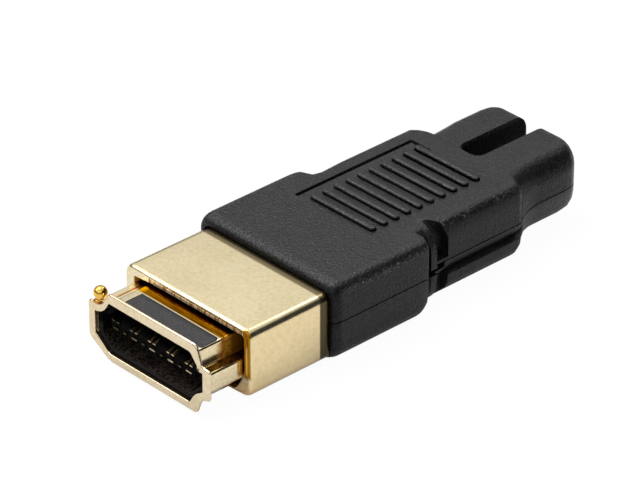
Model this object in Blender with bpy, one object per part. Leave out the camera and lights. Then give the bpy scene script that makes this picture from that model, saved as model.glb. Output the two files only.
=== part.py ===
"""Cable-end video socket: a gilt receptacle and sleeve held in a moulded two-part body.

The mouth faces -Y, the body runs towards +Y and rests on Z = 0. Lengths are in metres and are
drawn from the mouth plane; one empty shifts every piece so that the origin is under the middle.
"""
import bpy
import bmesh
from math import cos, pi, sin, sqrt
from mathutils import Vector
from numpy import interp

mm = 0.001

# Whole part
total_length = 48.6 * mm
parting_height = 4.05 * mm
parting_gap = 0.10 * mm
box_parting_rise = 0.27 * mm
parting_step_length = 0.40 * mm
fit_gap = 0.06 * mm
receptacle_offset = 0.25 * mm

# Moulded body
box_front = 14.1 * mm
box_length = 11.60 * mm
box_half_width = 8.87 * mm
body_height = 8.15 * mm
box_top_radius = 0.95 * mm
box_bottom_radius = 1.9 * mm
box_rear_radius = 0.9 * mm
box_rear_share = 0.15
box_rear_bottom_radius = 2.7 * mm
front_edge_reach = 1.2 * mm
front_edge_top = 0.62 * mm
front_edge_side = 0.30 * mm
front_edge_bottom = 0.45 * mm
neck_length = 4.0 * mm
neck_half_width = 7.3 * mm
collar_start = 1.20 * mm
collar_length = 0.70 * mm
collar_half_width = 7.85 * mm
collar_radius = 2.5 * mm
narrow_groove_half_width = 7.1 * mm
narrow_groove_radius = 0.8 * mm
lower_groove_half_width = 7.70 * mm
groove_wall_slope = 0.10 * mm
wide_groove_length = 1.85 * mm
wide_groove_half_width = 6.45 * mm
wide_groove_tip = 5.75 * mm
wide_groove_tip_length = 0.30 * mm
wide_groove_roof = 6.3 * mm
block_half_width = 7.38 * mm
block_top_radius = 1.0 * mm
block_rear_top_radius = 2.3 * mm
block_bottom_radius = 2.2 * mm
block_share = 0.513
block_rear_radius = 1.0 * mm
cove_depth = 0.60 * mm
lobe_half_width = 5.95 * mm
lobe_top_radius = 2.05 * mm
left_lobe_top_radius = 1.6 * mm
lobe_bottom_radius = 2.5 * mm
lobe_base = 0.75 * mm
lobe_blend_length = 3.2 * mm
lobe_blend_step = 0.95 * mm
left_blend_step = 0.15 * mm
lobe_rear_side_radius = 2.6 * mm
lobe_rear_edge_reach = 1.6 * mm
lobe_rear_top_drop = 2.5 * mm
lobe_rear_bottom_rise = 1.6 * mm
slot_half_width = 1.40 * mm
slot_centre = -0.20 * mm
slot_corner = 0.9 * mm
slot_mouth_flare = 0.30 * mm
slot_reach = 0.20 * mm
neck_relief_height = 0.60 * mm
neck_bar_height = 0.32 * mm
neck_relief_depth = 0.90 * mm
left_groove_low = 1.6 * mm
left_groove_high = 6.0 * mm

# Grip pattern on the top face
rib_count = 10
rib_first = 23.1 * mm
rib_rear_margin = 3.55 * mm
rib_width = 0.70 * mm
rib_length = 8.2 * mm
rib_centre = 0.15 * mm
rib_height = 0.36 * mm
groove_width = 0.44 * mm
groove_depth = 0.34 * mm
groove_side = 5.15 * mm
groove_start = 22.7 * mm
groove_rear_margin = 2.50 * mm
groove_arm = 2.3 * mm

# Inside of the body
sleeve_seat_depth = 3.0 * mm
cavity_half_width = 6.4 * mm
cavity_floor = 1.3 * mm
cavity_roof = 6.8 * mm
cavity_length = 8.6 * mm
wire_hole_radius = 1.35 * mm
post_radius = 0.85 * mm
post_pin_radius = 0.42 * mm
post_side = 4.6 * mm
post_behind_seat = 3.2 * mm
peg_radius = 0.45 * mm
peg_height = 0.90 * mm
peg_slack = 0.10 * mm
peg_box_side = 7.5 * mm
peg_box_place = 21.5 * mm
peg_block_side = 4.6 * mm
peg_block_place = 34.0 * mm

# Gilt sleeve
sleeve_front = 4.9 * mm
sleeve_half_width = 8.22 * mm
sleeve_bottom = 0.42 * mm
sleeve_top = 7.23 * mm
sleeve_wall = 0.28 * mm
sleeve_corner = 0.9 * mm
sleeve_face = 0.50 * mm
sleeve_edge_radius = 0.16 * mm
window_side_gap = 0.11 * mm
window_top_gap = 0.18 * mm
window_bottom_gap = 0.12 * mm
window_lip = 0.28 * mm

# Receptacle shell
shell_wall = 0.25 * mm
shell_length = 12.5 * mm
flare_length = 0.85 * mm
rim_radius = 0.17 * mm
rim_depth = 0.30 * mm
rim_inner_edge = 0.08 * mm
mouth_edge = 0.12 * mm
panel_left = -4.40 * mm
panel_right = 5.75 * mm
panel_near = 1.05 * mm
panel_far = 3.25 * mm
panel_corner = 0.45 * mm

# Insulator, contacts and board
insulator_front = 0.45 * mm
insulator_length = 8.6 * mm
liner_wall = 0.35 * mm
cavity_depth = 6.6 * mm
tongue_front = 0.62 * mm
tongue_half_width = 5.50 * mm
tongue_thickness = 1.40 * mm
contact_thickness = 0.14 * mm
contact_rise = 0.30 * mm
contact_width = 0.36 * mm
contact_wide = 0.72 * mm
contact_nose = 0.14 * mm
contact_clearance = 0.05 * mm
group_pitch = 2.4 * mm
group_count = 5
pair_spacing = 0.60 * mm
tail_overlap = 2.4 * mm
spacer_gap = 0.35 * mm
spacer_length = 0.8 * mm
spacer_half_width = 5.5 * mm
spacer_height = 1.9 * mm
board_thickness = 0.42 * mm
board_gap = 0.9 * mm
board_front_half_width = 5.45 * mm
board_rear_half_width = 6.2 * mm
board_length = 11.2 * mm

# Ball-ended pin
ball_radius = 0.65 * mm
ball_side = -6.54 * mm
ball_height = 6.70 * mm
ball_place = 0.30 * mm
stem_radius = 0.40 * mm
foot_radius = 0.40 * mm
foot_side = -6.90 * mm
foot_place = 0.20 * mm

# The receptacle's outlines seen from the mouth: x, z and how far the corner is rounded back.
# All three have the same eleven corners, clockwise from the upper left.
opening_corners = [
    (-7.10 * mm, 4.72 * mm, 0.12 * mm), (-6.00 * mm, 4.92 * mm, 0.75 * mm),
    (-5.15 * mm, 6.24 * mm, 0.15 * mm), (5.50 * mm, 6.24 * mm, 0.25 * mm),
    (6.40 * mm, 5.15 * mm, 0.30 * mm), (7.05 * mm, 4.85 * mm, 0.18 * mm),
    (7.05 * mm, 2.85 * mm, 0.15 * mm), (6.05 * mm, 2.25 * mm, 0.60 * mm),
    (5.30 * mm, 1.08 * mm, 0.15 * mm), (-5.35 * mm, 1.08 * mm, 0.35 * mm),
    (-7.10 * mm, 2.45 * mm, 0.30 * mm)]
rim_corners = [
    (-7.95 * mm, 5.62 * mm, 0.40 * mm), (-6.20 * mm, 5.62 * mm, 0.62 * mm),
    (-5.20 * mm, 7.28 * mm, 0.30 * mm), (6.30 * mm, 7.28 * mm, 0.55 * mm),
    (7.00 * mm, 5.36 * mm, 0.35 * mm), (8.02 * mm, 5.26 * mm, 0.25 * mm),
    (7.98 * mm, 2.25 * mm, 0.28 * mm), (6.90 * mm, 1.95 * mm, 0.50 * mm),
    (6.25 * mm, 0.28 * mm, 0.40 * mm), (-5.30 * mm, 0.28 * mm, 0.60 * mm),
    (-7.95 * mm, 1.85 * mm, 0.50 * mm)]
shell_corners = [
    (-7.10 * mm, 5.70 * mm, 0.25 * mm), (-5.50 * mm, 5.70 * mm, 0.25 * mm),
    (-5.30 * mm, 6.30 * mm, 0.25 * mm), (5.90 * mm, 6.30 * mm, 0.28 * mm),
    (5.90 * mm, 4.30 * mm, 0.20 * mm), (7.10 * mm, 4.30 * mm, 0.28 * mm),
    (7.10 * mm, 2.25 * mm, 0.35 * mm), (6.25 * mm, 1.95 * mm, 0.30 * mm),
    (5.55 * mm, 0.80 * mm, 0.30 * mm), (-5.55 * mm, 0.80 * mm, 0.45 * mm),
    (-7.10 * mm, 2.15 * mm, 0.45 * mm)]

# Places along the part that follow from the sizes above
box_rear = box_front + box_length
collar_rear = box_rear + collar_start + collar_length
block_front = box_rear + neck_length
block_rear = block_front + block_share * (total_length - block_front)
rib_pitch = (block_rear - rib_rear_margin - rib_first) / (rib_count - 1)
groove_end = block_rear - groove_rear_margin
seat_end = box_front + sleeve_seat_depth
insulator_back = insulator_front + insulator_length
spacer_front = insulator_back + spacer_gap
board_front = spacer_front + spacer_length + board_gap
post_place = seat_end + post_behind_seat
upper_contact_height = parting_height + board_thickness / 2 + contact_clearance + contact_thickness / 2

ROUND_STEPS = 4
EDGE_STEPS = 5

for old in list(bpy.data.objects):
    bpy.data.objects.remove(old, do_unlink=True)

carrier = bpy.data.objects.new("socket", None)
carrier.location.y = -(total_length + ball_place - ball_radius) / 2
bpy.context.collection.objects.link(carrier)
receptacle = bpy.data.objects.new("receptacle", None)
receptacle.parent = carrier
receptacle.location.x = receptacle_offset
bpy.context.collection.objects.link(receptacle)


# Mesh and object helpers

def outline(corners, steps=ROUND_STEPS):
    """Points of a closed outline whose corners are rounded back by the length each one states."""
    points = []
    count = len(corners)
    for i, (x, z, cut) in enumerate(corners):
        here = Vector((x, z))
        before = (here - Vector(corners[i - 1][:2])).normalized()
        after = (Vector(corners[(i + 1) % count][:2]) - here).normalized()
        start = here - before * cut
        end = here + after * cut
        turn = before.cross(after)
        if abs(turn) < 0.01:
            points += [start.lerp(end, s / steps) for s in range(steps + 1)]
            continue
        half = (1 + before.dot(after)) / turn
        side = Vector((-before.y, before.x))
        centre = start + side * cut * half
        radius = start - centre
        angle = start_to_end_angle(radius, end - centre)
        points += [centre + rotated(radius, angle * s / steps) for s in range(steps + 1)]
    return points


def start_to_end_angle(first, last):
    return Vector(first).angle_signed(Vector(last)) * -1


def rotated(vector, angle):
    return Vector((vector.x * cos(angle) - vector.y * sin(angle),
                   vector.x * sin(angle) + vector.y * cos(angle)))


def offset(corners, amount):
    """The same corners with every edge moved outwards by the amount."""
    moved = []
    count = len(corners)
    for i, (x, z, cut) in enumerate(corners):
        here = Vector((x, z))
        before = (here - Vector(corners[i - 1][:2])).normalized()
        after = (Vector(corners[(i + 1) % count][:2]) - here).normalized()
        normal_before = Vector((-before.y, before.x))
        normal_after = Vector((-after.y, after.x))
        corner = here + (normal_before + normal_after) * (amount / (1 + normal_before.dot(normal_after)))
        moved.append((corner.x, corner.y, cut))
    return moved


def blend(first, second, share):
    """An outline part of the way from the first to the second."""
    return [tuple(a + (b - a) * share for a, b in zip(p, q)) for p, q in zip(first, second)]


def ring_at(corners, y):
    return [Vector((p.x, y, p.y)) for p in outline(corners)]


def loft(rings, closed=False):
    """A solid through rings of equally many points; a closed one has no end caps."""
    bm = bmesh.new()
    rows = [[bm.verts.new(p) for p in ring] for ring in rings]
    pairs = list(zip(rows, rows[1:]))
    if closed:
        pairs.append((rows[-1], rows[0]))
    for near, far in pairs:
        for i in range(len(near)):
            j = (i + 1) % len(near)
            bm.faces.new((near[i], near[j], far[j], far[i]))
    if not closed:
        bm.faces.new(rows[0])
        bm.faces.new(rows[-1])
    bmesh.ops.recalc_face_normals(bm, faces=bm.faces)
    return bm


def prism(points, low, high, axis):
    """A flat outline pushed from low to high along the named axis."""
    place = {"x": lambda p, t: Vector((t, p[0], p[1])),
             "y": lambda p, t: Vector((p[0], t, p[1])),
             "z": lambda p, t: Vector((p[0], p[1], t))}[axis]
    return loft([[place(p, low) for p in points], [place(p, high) for p in points]])


def box(x0, x1, y0, y1, z0, z1):
    return prism([(x0, y0), (x1, y0), (x1, y1), (x0, y1)], z0, z1, "z")


def circle(x, y, radius, steps=16):
    return [(x + radius * cos(2 * pi * s / steps), y + radius * sin(2 * pi * s / steps))
            for s in range(steps)]


def merged(meshes):
    """Several separate closed meshes as one."""
    whole = bmesh.new()
    for bm in meshes:
        mesh = bpy.data.meshes.new("merged")
        bm.to_mesh(mesh)
        bm.free()
        whole.from_mesh(mesh)
        bpy.data.meshes.remove(mesh)
    return whole


def add_object(name, bm, parent=carrier):
    mesh = bpy.data.meshes.new(name)
    bm.to_mesh(mesh)
    bm.free()
    obj = bpy.data.objects.new(name, mesh)
    obj.parent = parent
    bpy.context.collection.objects.link(obj)
    return obj


def add_piece(name, bm, colour, roughness, metallic=0.0, parent=carrier):
    """One sub-part with its own material."""
    obj = add_object(name, bm, parent)
    obj.data.shade_smooth()
    obj.data.set_sharp_from_angle(angle=0.6)
    material = bpy.data.materials.new(name)
    material.use_nodes = True
    shader = material.node_tree.nodes["Principled BSDF"]
    shader.inputs["Base Color"].default_value = (*colour, 1)
    shader.inputs["Roughness"].default_value = roughness
    shader.inputs["Metallic"].default_value = metallic
    obj.data.materials.append(material)
    return obj


def shape(target, tool, operation):
    """Cuts the tool out of the target, or joins it to the target."""
    modifier = target.modifiers.new(tool.name, "BOOLEAN")
    modifier.operation = operation
    modifier.object = tool
    tool.hide_render = True
    tool.display_type = "WIRE"


def cut(target, tool):
    shape(target, tool, "DIFFERENCE")


def join(target, tool):
    shape(target, tool, "UNION")


# Moulded body

def arc_keys(centre, radius, count):
    """How far round a quarter circle each of the count points lies: along it and across it."""
    angles = [pi / 2 * s / count for s in range(count + 1)]
    return [(centre + radius * sin(a), radius * (1 - cos(a))) for a in angles]


def box_side(rear_radius):
    """Stations along the front box, whose rear corner is rounded off in plan."""
    keys = [(box_front, box_half_width, box_top_radius, box_bottom_radius)]
    rounding = arc_keys(box_rear - rear_radius, rear_radius, 4)
    for step, (y, inset) in enumerate(rounding):
        share = step / (len(rounding) - 1)
        keys.append((y, box_half_width - box_rear_share * inset, box_top_radius,
                     box_bottom_radius + (box_rear_bottom_radius - box_bottom_radius) * share))
    return keys


def right_side(groove_half_width=narrow_groove_half_width):
    """Stations along the grooved right side: y, half width, top radius, bottom radius."""
    groove_near = box_rear + groove_wall_slope
    collar_near = box_rear + collar_start
    return box_side(box_rear_radius) + [
        (groove_near, groove_half_width, narrow_groove_radius, box_rear_bottom_radius),
        (collar_near - groove_wall_slope, groove_half_width, narrow_groove_radius, box_rear_bottom_radius),
        (collar_near, collar_half_width, collar_radius, box_rear_bottom_radius),
        (collar_rear + groove_wall_slope, collar_half_width, collar_radius, box_rear_bottom_radius),
        (collar_rear + 2 * groove_wall_slope, block_half_width, block_top_radius, block_bottom_radius),
        *block_and_lobe(lobe_blend_step, lobe_top_radius)]


def left_side():
    """Stations along the left side, whose neck is smooth up to the top edge."""
    fade = neck_length / 4
    return box_side(1.6 * box_rear_radius) + [
        (box_rear + fade / 2, neck_half_width + 0.25 * mm, block_top_radius, box_rear_bottom_radius),
        (box_rear + 1.5 * fade, neck_half_width - 0.05 * mm, block_top_radius, block_bottom_radius),
        *block_and_lobe(left_blend_step, left_lobe_top_radius)]


def block_and_lobe(blend_step, end_radius):
    """Stations common to both sides, from the block behind the neck to the end of the lobes."""
    keys = [(block_front, block_half_width, block_top_radius, block_bottom_radius)]
    for step, (y, inset) in enumerate(arc_keys(block_rear - block_rear_radius, block_rear_radius, 3)[:-1]):
        top_radius = block_top_radius + (block_rear_top_radius - block_top_radius) * step / 3
        keys.append((y, block_half_width - inset, top_radius, block_bottom_radius))
    for step in range(EDGE_STEPS + 1):
        share = 1 - step / EDGE_STEPS
        keys.append((block_rear + lobe_blend_length * (1 - share), lobe_half_width + blend_step * share ** 2,
                     end_radius + (block_rear_top_radius - end_radius) * share, lobe_bottom_radius))
    keys.append((total_length, lobe_half_width, end_radius, lobe_bottom_radius))
    return keys


def stations():
    """Every y at which a cross-section is drawn."""
    ends = [box_rear - parting_step_length]
    for s in range(EDGE_STEPS + 1):
        turn = 1 - cos(pi / 2 * s / EDGE_STEPS)
        ends += [box_front + front_edge_reach * turn, total_length - lobe_rear_edge_reach * turn,
                 total_length - lobe_rear_side_radius * turn]
    places = sorted(ends + [key[0] for key in right_side() + left_side()])
    kept = [places[0]]
    for y in places[1:]:
        if y - kept[-1] > 0.04 * mm:
            kept.append(y)
    return kept


def front_inset(y, depth):
    """How far the rounded front edge draws the surface in."""
    share = max(0.0, 1 - (y - box_front) / front_edge_reach)
    return depth * (1 - sqrt(1 - share ** 2))


def rear_inset(y, reach, depth):
    """How far the rounded rear end draws the surface in."""
    share = min(1.0, max(0.0, 1 - (total_length - y) / reach))
    return depth * (1 - sqrt(1 - share ** 2))


def parting_at(y):
    """Height of the parting line, which steps down where the box meets the neck."""
    return parting_height + float(interp(y, [box_rear - parting_step_length, box_rear], [box_parting_rise, 0]))


def side_at(keys, y):
    """Half width, top radius and bottom radius of one side at y."""
    places = [key[0] for key in keys]
    width, top, bottom = (float(interp(y, places, [key[i] for key in keys])) for i in (1, 2, 3))
    half_width = (width - front_inset(y, front_edge_side)
                  - rear_inset(y, lobe_rear_side_radius, lobe_rear_side_radius))
    return (half_width, top - 0.35 * rear_inset(y, lobe_rear_edge_reach, lobe_rear_top_drop),
            bottom - rear_inset(y, lobe_rear_edge_reach, lobe_rear_bottom_rise))


def quarter(x, z, radius, start):
    """Points of a quarter circle about (x, z), from the start angle on."""
    angles = [start + pi / 2 * s / EDGE_STEPS for s in range(EDGE_STEPS + 1)]
    return [(x + radius * cos(a), z + radius * sin(a)) for a in angles]


def upper_section(y):
    low = parting_at(y) + parting_gap / 2
    top = (body_height - front_inset(y, front_edge_top)
           - rear_inset(y, lobe_rear_edge_reach, lobe_rear_top_drop))
    right, right_radius, _ = side_at(right_side(), y)
    left, left_radius, _ = side_at(left_side(), y)
    points = [(right, low)]
    points += quarter(right - right_radius, top - right_radius, right_radius, 0)
    points += quarter(left_radius - left, top - left_radius, left_radius, pi / 2)
    return points + [(-left, low)]


def lower_section(y):
    high = parting_at(y) - parting_gap / 2
    rise = float(interp(y, [block_rear - block_rear_radius, block_rear + block_rear_radius], [0, lobe_base]))
    base = (rise + front_inset(y, front_edge_bottom)
            + rear_inset(y, lobe_rear_edge_reach, lobe_rear_bottom_rise))
    deep = cove_depth * float(interp(y, [collar_rear + 2 * groove_wall_slope, block_front,
                                         block_rear - block_rear_radius / 2, block_rear], [0, 1, 1, 0]))
    right, _, right_radius = side_at(right_side(lower_groove_half_width), y)
    left, _, left_radius = side_at(left_side(), y)

    def flank(half_width, radius):
        height = high - base - radius
        shares = [(0, 0), (0.18, 0.08), (0.40, 0.35), (0.58, 0.75), (0.72, 1), (0.84, 0)]
        return [(half_width - deep * inward, high - height * down) for down, inward in shares]

    points = [(-x, z) for x, z in flank(left, left_radius)]
    points += quarter(left_radius - left, base + left_radius, left_radius, pi)
    points += quarter(right - right_radius, base + right_radius, right_radius, 1.5 * pi)
    return points + flank(right, right_radius)[::-1]


def body_half(name, section):
    rings = [[Vector((x, y, z)) for x, z in section(y)] for y in stations()]
    return add_piece(name, loft(rings), (0.035, 0.035, 0.037), 0.62)


def slot_tool():
    """The slot between the lobes: round at its inner end, flared where it leaves the rear."""
    flare = [(slot_half_width + slot_mouth_flare * (1 - sin(a)),
              total_length - slot_mouth_flare * (1 - cos(a)) * 1.4)
             for a in (0, pi / 6, pi / 3, pi / 2)]
    inner = [(slot_half_width - slot_corner * (1 - cos(a)),
              block_rear - slot_reach + slot_corner * (1 - sin(a)))
             for a in (0, pi / 6, pi / 3, pi / 2)]
    right = [(flare[0][0], total_length + 1 * mm)] + flare + inner
    plan = [(slot_centre + x, y) for x, y in right] + [(slot_centre - x, y) for x, y in right[::-1]]
    return prism(plan, -1 * mm, body_height + 1 * mm, "z")


def neck_groove_tool():
    """The deep groove behind the collar, which runs out to a point on the top face."""
    near, far, outside = collar_rear, collar_rear + wide_groove_length, box_half_width + 1 * mm
    floor, shoulder = wide_groove_half_width, (wide_groove_half_width + block_half_width) / 2
    straight = [(floor, near), (outside, near), (outside, far), (block_half_width, far), (shoulder, far),
                (floor, far - 0.1 * mm)]
    tip = wide_groove_tip
    pointed = [(tip, near), (outside, near), (outside, far), (block_half_width, far - 0.1 * mm),
               (shoulder, near + (far - near) * 0.6), (tip + 0.1 * mm, near + wide_groove_tip_length)]
    above = [(parting_height + neck_bar_height, straight), (wide_groove_roof, straight),
             (body_height + 0.1 * mm, pointed)]
    below = [(-1 * mm, straight), (parting_height - neck_relief_height - neck_bar_height, straight)]
    return merged([loft([[Vector((x, y, z)) for x, y in plan] for z, plan in levels])
                   for levels in (above, below)])


def l_groove_tool():
    """The L-shaped line beside the ribs, with round ends and a round corner."""
    half = groove_width / 2
    left, near, far = -groove_side, groove_start, groove_end
    end = left + groove_arm
    points = [(left + half * cos(a), near + half * sin(a)) for a in
              [pi + pi * s / 6 for s in range(7)]]
    points += [(left + half, far - half)]
    points += [(end + half * cos(a), far + half * sin(a)) for a in
               [-pi / 2 + pi * s / 6 for s in range(7)]]
    points += [(left + half * cos(a), far + half * sin(a)) for a in
               [pi / 2 + pi / 2 * s / 3 for s in range(4)]]
    return prism(points, body_height - groove_depth, body_height + 1 * mm, "z")


def rib(y):
    """One raised rib with round ends and a softened top."""
    half = rib_width / 2
    soft = rib_width / 6
    ends = []
    for level, inset in ((-0.5 * mm, 0), (rib_height - soft, 0), (rib_height, soft)):
        r = half - inset
        x = rib_length / 2 - half
        angles = [-pi / 2 + pi * s / 6 for s in range(7)]
        ring = [(x + r * cos(a), r * sin(a)) for a in angles]
        ring += [(-px, -py) for px, py in ring]
        ends.append([Vector((rib_centre + px, y + half + py, body_height + level)) for px, py in ring])
    return loft(ends)


seat_corners = [(-sleeve_half_width, sleeve_top, sleeve_corner),
                (sleeve_half_width, sleeve_top, sleeve_corner),
                (sleeve_half_width, sleeve_bottom, sleeve_corner),
                (-sleeve_half_width, sleeve_bottom, sleeve_corner)]
hollow = merged([
    prism([tuple(p) for p in outline(offset(seat_corners, fit_gap))], box_front - 1 * mm, seat_end, "y")])
seat_tool = add_object("sleeve_seat", hollow)
cavity_tool = add_object("board_cavity", box(-cavity_half_width, cavity_half_width, seat_end - 0.5 * mm,
                                             seat_end + cavity_length, cavity_floor, cavity_roof))
wire_tool = add_object("wire_hole", prism(circle(0, parting_height, wire_hole_radius),
                                          seat_end + cavity_length - 0.5 * mm, block_rear + 1 * mm, "y"))
slot = add_object("rear_slot", slot_tool())
neck_groove = add_object("neck_groove", neck_groove_tool())
relief = add_object("neck_relief", box(
    block_half_width - neck_relief_depth, box_half_width + 1 * mm, box_rear + 2 * groove_wall_slope,
    collar_rear + wide_groove_length - 4 * groove_wall_slope, parting_height - neck_relief_height,
    parting_height + 1 * mm))
left_grooves = add_object("left_grooves", merged([
    box(-box_half_width - 1 * mm, -wide_groove_half_width, collar_rear + groove_wall_slope / 2,
        block_front + 2 * groove_wall_slope, left_groove_low, left_groove_high),
    box(-box_half_width - 1 * mm, 0.4 * mm - narrow_groove_half_width, box_rear + groove_wall_slope,
        box_rear + collar_start, left_groove_low, left_groove_high)]))

body_upper = body_half("body_upper", upper_section)
body_lower = body_half("body_lower", lower_section)
for half in (body_upper, body_lower):
    for tool in (seat_tool, cavity_tool, wire_tool, slot, neck_groove, left_grooves):
        cut(half, tool)
cut(body_upper, add_object("grip_line", l_groove_tool()))
join(body_upper, add_object("grip_ribs", merged([rib(rib_first + rib_pitch * i) for i in range(rib_count)])))

peg_places = [(side * x, y) for side in (-1, 1) for x, y in
              ((peg_box_side, peg_box_place), (peg_block_side, peg_block_place))]
peg_foot = parting_height - 1 * mm
join(body_lower, add_object("pegs", merged(
    [prism(circle(x, y, peg_radius), peg_foot, parting_height + peg_height, "z") for x, y in peg_places])))
cut(body_upper, add_object("peg_holes", merged(
    [prism(circle(x, y, peg_radius + peg_slack), peg_foot, parting_height + peg_height + peg_slack, "z")
     for x, y in peg_places])))

# Posts that carry and clamp the board
board_low = parting_height - board_thickness / 2
board_high = parting_height + board_thickness / 2
post_places = [(side * post_side, post_place) for side in (-1, 1)]
join(body_lower, add_object("lower_posts", merged(
    [prism(circle(x, y, post_radius), cavity_floor - 0.5 * mm, board_low - fit_gap, "z")
     for x, y in post_places])))
join(body_lower, add_object("post_pins", merged(
    [prism(circle(x, y, post_pin_radius), cavity_floor, board_high, "z") for x, y in post_places])))
join(body_upper, add_object("upper_posts", merged(
    [prism(circle(x, y, post_radius), board_high + fit_gap, cavity_roof + 0.5 * mm, "z")
     for x, y in post_places])))

cut(body_lower, relief)


# Gilt sleeve, open at the rear, with a window in its face for the receptacle

def sleeve_outline(half_width, low, high, cut_back):
    """Nine corners, of which five lie along the straight sides."""
    side = half_width - cut_back
    return [(-half_width, high, cut_back), (-half_width + 2.4 * mm, high, 0.1 * mm),
            (half_width, high, cut_back),
            (half_width, parting_height - 0.7 * mm, 0.1 * mm), (half_width, low, cut_back),
            (side - 2.2 * mm, low, 0.1 * mm), (-side + 1.5 * mm, low, 0.1 * mm),
            (-half_width, low, cut_back), (-half_width, parting_height - 1.6 * mm, 0.1 * mm)]


shell_side = max(x for x, z, c in shell_corners)
shell_top = max(z for x, z, c in shell_corners)
shell_bottom = min(z for x, z, c in shell_corners)
window_low = shell_bottom - window_bottom_gap
window_high = shell_top + window_top_gap
window_side = shell_side + window_side_gap
window_about_receptacle = [
    (-window_side, window_high - 0.25 * mm, 0.12 * mm), (-window_side + 2.2 * mm, window_high - 0.06 * mm, 0.15 * mm),
    (window_side, window_high + 0.05 * mm, 0.40 * mm),
    (window_side, parting_height - 1.15 * mm, 0.25 * mm),
    (shell_side - 0.65 * mm, parting_height - 2.70 * mm, 0.30 * mm),
    (shell_side - 1.15 * mm, window_low, 0.20 * mm), (-shell_side + 1.20 * mm, window_low, 0.20 * mm),
    (-shell_side + 0.38 * mm, parting_height - 2.55 * mm, 0.15 * mm),
    (-window_side, parting_height - 1.70 * mm, 0.20 * mm)]
window_corners = [(x + receptacle_offset, z, cut_back) for x, z, cut_back in window_about_receptacle]


def sleeve_rings():
    def outer(inset):
        return sleeve_outline(sleeve_half_width - inset, sleeve_bottom + inset, sleeve_top - inset,
                              sleeve_corner - inset)

    rear = box_front + sleeve_seat_depth - fit_gap
    rings = [ring_at(outer(0), rear)]
    for s in range(ROUND_STEPS + 1):
        a = pi / 2 * s / ROUND_STEPS
        rings.append(ring_at(outer(sleeve_edge_radius * (1 - cos(a))),
                             sleeve_front + sleeve_edge_radius * (1 - sin(a))))
    for s in range(ROUND_STEPS + 1):
        a = pi / 2 * s / ROUND_STEPS
        lip = blend(window_corners, outer(sleeve_edge_radius), 0.5 * (1 - sin(a)))
        rings.append(ring_at(lip, sleeve_front + window_lip * (1 - cos(a))))
    rings.append(ring_at(window_corners, sleeve_front + sleeve_face))
    rings.append(ring_at(outer(sleeve_wall), sleeve_front + sleeve_face))
    rings.append(ring_at(outer(sleeve_wall), rear))
    return rings


GOLD = (0.78, 0.66, 0.40)
shield_sleeve = add_piece("shield_sleeve", loft(sleeve_rings(), closed=True), GOLD, 0.30, 1.0)


# Receptacle shell: a folded tube whose mouth flares into a rolled rim

inner_corners = offset(shell_corners, -shell_wall)


def flare_at(y):
    """Corners of the shell's inner face at y, between the mouth's edge and the straight tube."""
    share = (y - mouth_edge) / (flare_length - mouth_edge)
    return blend(opening_corners, inner_corners, min(1.0, share))


def shell_rings():
    rings = [ring_at(flare_at(y), y) for y in (shell_length, flare_length, insulator_front, mouth_edge)]
    rings.append(ring_at(offset(opening_corners, rim_inner_edge), 0))
    for s in range(ROUND_STEPS + 1):
        a = pi / 2 * s / ROUND_STEPS
        rings.append(ring_at(offset(rim_corners, -rim_radius * (1 - sin(a))), rim_radius * (1 - cos(a))))
    rings.append(ring_at(offset(rim_corners, -0.05 * mm), rim_depth))
    rings.append(ring_at(blend(shell_corners, rim_corners, 0.12), rim_depth + 0.05 * mm))
    rings.append(ring_at(shell_corners, flare_length))
    rings.append(ring_at(shell_corners, shell_length))
    return rings


def panel_outline(inset):
    """Plan outline of the cut-out in the shell's roof, drawn in by the inset."""
    x0, x1 = panel_left + inset, panel_right - inset
    y0, y1 = panel_near + inset, panel_far - inset
    corners = [(x0, y1, panel_corner / 3), (x1, y1, panel_corner), (x1, y0, panel_corner / 3),
               (x0, y0, panel_corner)]
    return [tuple(p) for p in outline(corners)]


socket_shell = add_piece("socket_shell", loft(shell_rings(), closed=True), GOLD, 0.25, 1.0, receptacle)
cut(socket_shell, add_object("panel_window", prism(panel_outline(0), shell_top - 2 * shell_wall,
                                                   shell_top + 1 * mm, "z"), receptacle))

# Insulator: a liner closed at the back, with the tongue that carries the contacts
def liner_at(y, inset):
    """Ring of the liner at y, drawn in from the shell's inner face by the fit and the inset."""
    return ring_at(offset(flare_at(y), -fit_gap - inset), y)


cavity_end = insulator_front + cavity_depth
liner_edge = liner_wall / 4
insulator = add_piece("insulator", loft([
    liner_at(cavity_end, liner_wall), liner_at(flare_length, liner_wall), liner_at(insulator_front, liner_wall),
    liner_at(insulator_front - fit_gap, liner_wall - liner_edge), liner_at(insulator_front - fit_gap, liner_edge),
    liner_at(insulator_front, 0), liner_at(flare_length, 0), liner_at(insulator_back, 0)]),
    (0.02, 0.02, 0.022), 0.5, parent=receptacle)

tongue_low = parting_height - tongue_thickness / 2
tongue_high = parting_height + tongue_thickness / 2
nose = 0.22 * mm
tongue_profile = [(cavity_end + 0.5 * mm, tongue_low), (tongue_front + nose, tongue_low),
                  (tongue_front, tongue_low + nose), (tongue_front, tongue_high - nose),
                  (tongue_front + nose, tongue_high), (cavity_end + 0.5 * mm, tongue_high)]
join(insulator, add_object("tongue", prism(tongue_profile, -tongue_half_width, tongue_half_width, "x"),
                           receptacle))
core_top = shell_top - shell_wall - fit_gap
join(insulator, add_object("roof_pad", prism(panel_outline(fit_gap), core_top - liner_wall / 2,
                                             shell_top - 0.02 * mm, "z"), receptacle))


# Contacts: ten upper ones in pairs, nine lower ones, broad under each pair

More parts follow.
